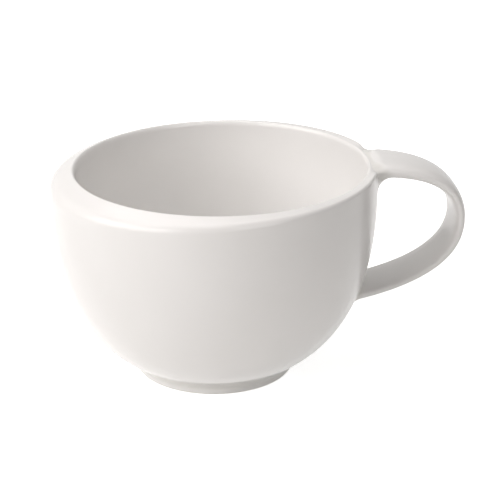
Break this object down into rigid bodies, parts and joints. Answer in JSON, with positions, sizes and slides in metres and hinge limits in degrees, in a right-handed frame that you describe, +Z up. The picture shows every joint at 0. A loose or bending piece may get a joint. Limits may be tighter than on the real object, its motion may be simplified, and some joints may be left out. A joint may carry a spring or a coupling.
{
  "type": "latte mug",
  "caption": "Round white porcelain latte mug with an off-centre mouth, a sloping crescent rim, a low foot ring and a strap handle that flows out of the rim.",
  "frame": {"origin": "on the bowl's axis, in the plane that the foot ring stands on", "axes": "+Z up along the bowl's axis, +X from the axis towards the handle, Y across the handle"},
  "size_m": [0.1378, 0.108, 0.0721],
  "materials": {
    "glaze": "clear gloss glaze over white porcelain",
    "slip": "fired porcelain slip, under the glaze"
  },
  "bodies": {
    "root": {"bowl": "glaze", "handle": "glaze", "upper_slip_joint": "slip", "lower_slip_joint": "slip"}
  },
  "joints": []
}
